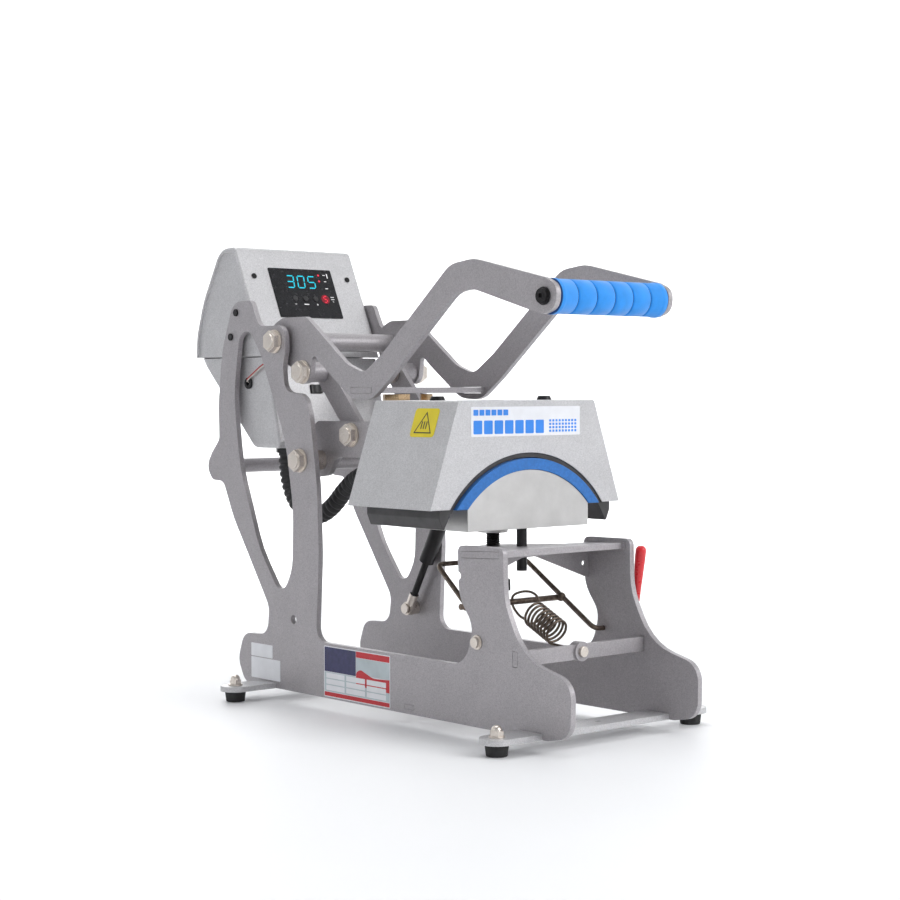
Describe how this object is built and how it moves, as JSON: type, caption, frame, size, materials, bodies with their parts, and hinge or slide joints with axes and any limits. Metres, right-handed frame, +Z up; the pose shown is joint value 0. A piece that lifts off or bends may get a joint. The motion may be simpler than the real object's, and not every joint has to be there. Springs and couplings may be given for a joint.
{
  "type": "cap heat press",
  "caption": "Bench heat press for caps: curved heated platen on a toggle-driven swing arm over a curved lower platen, with handle, gas spring, cap hold-down and control housing.",
  "frame": {"origin": "on the floor, in the middle of the press's outer box", "axes": "+X to the operator's right, +Y from the operator to the back, +Z up"},
  "size_m": [0.308, 0.6546, 0.52],
  "materials": {
    "steel_paint": "fine textured silver-grey powder coat",
    "shell_paint": "light silver paint on sheet metal",
    "zinc": "zinc plated",
    "gold_zinc": "yellow zinc",
    "black_steel": "black oxide",
    "spring_steel": "dark spring wire",
    "aluminium": "brushed",
    "hot_coating": "dark non-stick coating",
    "silicone": "silicone sheet",
    "foam": "closed-cell foam",
    "rubber": "moulded",
    "black_plastic": "moulded",
    "window": "gloss overlay",
    "red_vinyl": "dipped vinyl",
    "label": "printed film",
    "circuit": "circuit board",
    "mica": "mica heater sheet"
  },
  "bodies": {
    "frame": {"side_plate_left": "steel_paint", "side_plate_right": "steel_paint", "pedestal_top_plate": "steel_paint", "pedestal_gusset": "steel_paint", "mid_cross_bar": "steel_paint", "base_tie_bar": "steel_paint", "foot_bars": "shell_paint", "rubber_feet": "rubber", "foot_screws": "zinc", "rear_cross_tube": "steel_paint", "frame_pivot_bolts": "zinc", "pivot_spacers": "zinc", "housing_upper_shell": "shell_paint", "housing_lower_shell": "shell_paint", "housing_screws": "black_steel", "display_window": "window", "power_inlet": "black_plastic", "control_board": "circuit", "housing_grommets": "black_plastic", "cable_conduit": "black_plastic", "frame_labels": "label", "gas_spring_lower_stud": "zinc", "hold_down_screws": "zinc", "hold_down_spring": "spring_steel"},
    "platen_arm": {"platen_arm_brackets": "steel_paint", "arm_pivot_tube": "steel_paint", "link_pins": "zinc", "head_plate": "steel_paint", "stop_posts": "gold_zinc", "head_cover": "shell_paint", "cover_screws": "black_steel", "heat_platen": "hot_coating", "heater_element": "mica", "head_label": "label", "head_cable_gland": "black_plastic", "gas_spring_upper_ball": "zinc"},
    "handle": {"handle_arm_left": "steel_paint", "handle_arm_right": "steel_paint", "handle_cross_plate": "steel_paint", "handle_pivot_tube": "steel_paint", "grip_tube": "zinc", "foam_grip": "foam", "grip_end_screws": "black_steel", "toggle_pins": "zinc", "toggle_bushes": "steel_paint"},
    "toggle": {"toggle_links": "steel_paint"},
    "gas_rod": {"gas_spring_rod": "black_steel"},
    "gas_tube": {"gas_spring_cylinder": "black_steel"},
    "lower_platen_group": {"lower_platen": "aluminium", "silicone_pad": "silicone", "guide_pin": "black_steel", "pressure_rod": "black_steel"},
    "knob": {"adjusting_knob": "black_plastic"},
    "bail": {"hold_down_bail": "spring_steel", "bail_cross_rod": "spring_steel", "lever_grip": "red_vinyl"},
    "key_left": {"key_left": "black_plastic"},
    "key_centre": {"key_centre": "black_plastic"},
    "key_right": {"key_right": "black_plastic"},
    "rocker": {"rocker_switch": "black_plastic"}
  },
  "joints": [
    {"name": "platen_arm_hinge", "type": "hinge", "parent": "frame", "child": "platen_arm", "pos_m": [0, 0.10534, 0.273], "axis": [-1, 0, 0], "range_deg": [0, 39.5], "deforming": ["cable_conduit"]},
    {"name": "handle_hinge", "type": "hinge", "parent": "frame", "child": "handle", "pos_m": [0, 0.15234, 0.407], "axis": [-1, 0, 0], "range_deg": [0, 61]},
    {"name": "toggle_hinge", "type": "hinge", "parent": "handle", "child": "toggle", "pos_m": [0, 0.11334, 0.372], "axis": [1, 0, 0], "range_deg": [0, 91]},
    {"name": "gas_spring_swing", "type": "hinge", "parent": "frame", "child": "gas_rod", "pos_m": [0.076, 0.11934, 0.0935], "axis": [-1, 0, 0], "range_deg": [0, 13]},
    {"name": "gas_spring_stroke", "type": "slide", "parent": "gas_rod", "child": "gas_tube", "axis": [0, -0.4855, 0.8743], "range_m": [0, 0.041]},
    {"name": "knob_turn", "type": "hinge", "parent": "frame", "child": "knob", "pos_m": [0, -0.11366, 0.144], "axis": [0, 0, 1], "range_deg": [-1265, 0]},
    {"name": "lower_platen_height", "type": "slide", "parent": "frame", "child": "lower_platen_group", "axis": [0, 0, 1], "range_m": [-0.00808, 0]},
    {"name": "bail_hinge", "type": "hinge", "parent": "frame", "child": "bail", "pos_m": [0, -0.19266, 0.098], "axis": [-1, 0, 0], "range_deg": [0, 35], "stiffness_Nm_per_rad": 2, "deforming": ["hold_down_spring"]},
    {"name": "key_left_press", "type": "slide", "parent": "frame", "child": "key_left", "axis": [0, 0.9085, -0.4179], "range_m": [0, 0.0006], "stiffness_N_per_m": 300},
    {"name": "key_centre_press", "type": "slide", "parent": "frame", "child": "key_centre", "axis": [0, 0.9085, -0.4179], "range_m": [0, 0.0006], "stiffness_N_per_m": 300},
    {"name": "key_right_press", "type": "slide", "parent": "frame", "child": "key_right", "axis": [0, 0.9085, -0.4179], "range_m": [0, 0.0006], "stiffness_N_per_m": 300},
    {"name": "rocker_tilt", "type": "hinge", "parent": "frame", "child": "rocker", "pos_m": [-0.017, 0.17964, 0.3521], "axis": [0, 0.225, 0.9744], "range_deg": [0, 14]}
  ],
  "couplings": [
    {"joint": "handle_hinge", "follows": "platen_arm_hinge", "ratio": 1.519},
    {"joint": "toggle_hinge", "follows": "platen_arm_hinge", "ratio": 2.2532},
    {"joint": "gas_spring_swing", "follows": "platen_arm_hinge", "ratio": 0.30329},
    {"joint": "gas_spring_stroke", "follows": "platen_arm_hinge", "m_per_rad": 0.057934},
    {"joint": "knob_turn", "follows": "lower_platen_height", "rad_per_m": 2721.2}
  ]
}
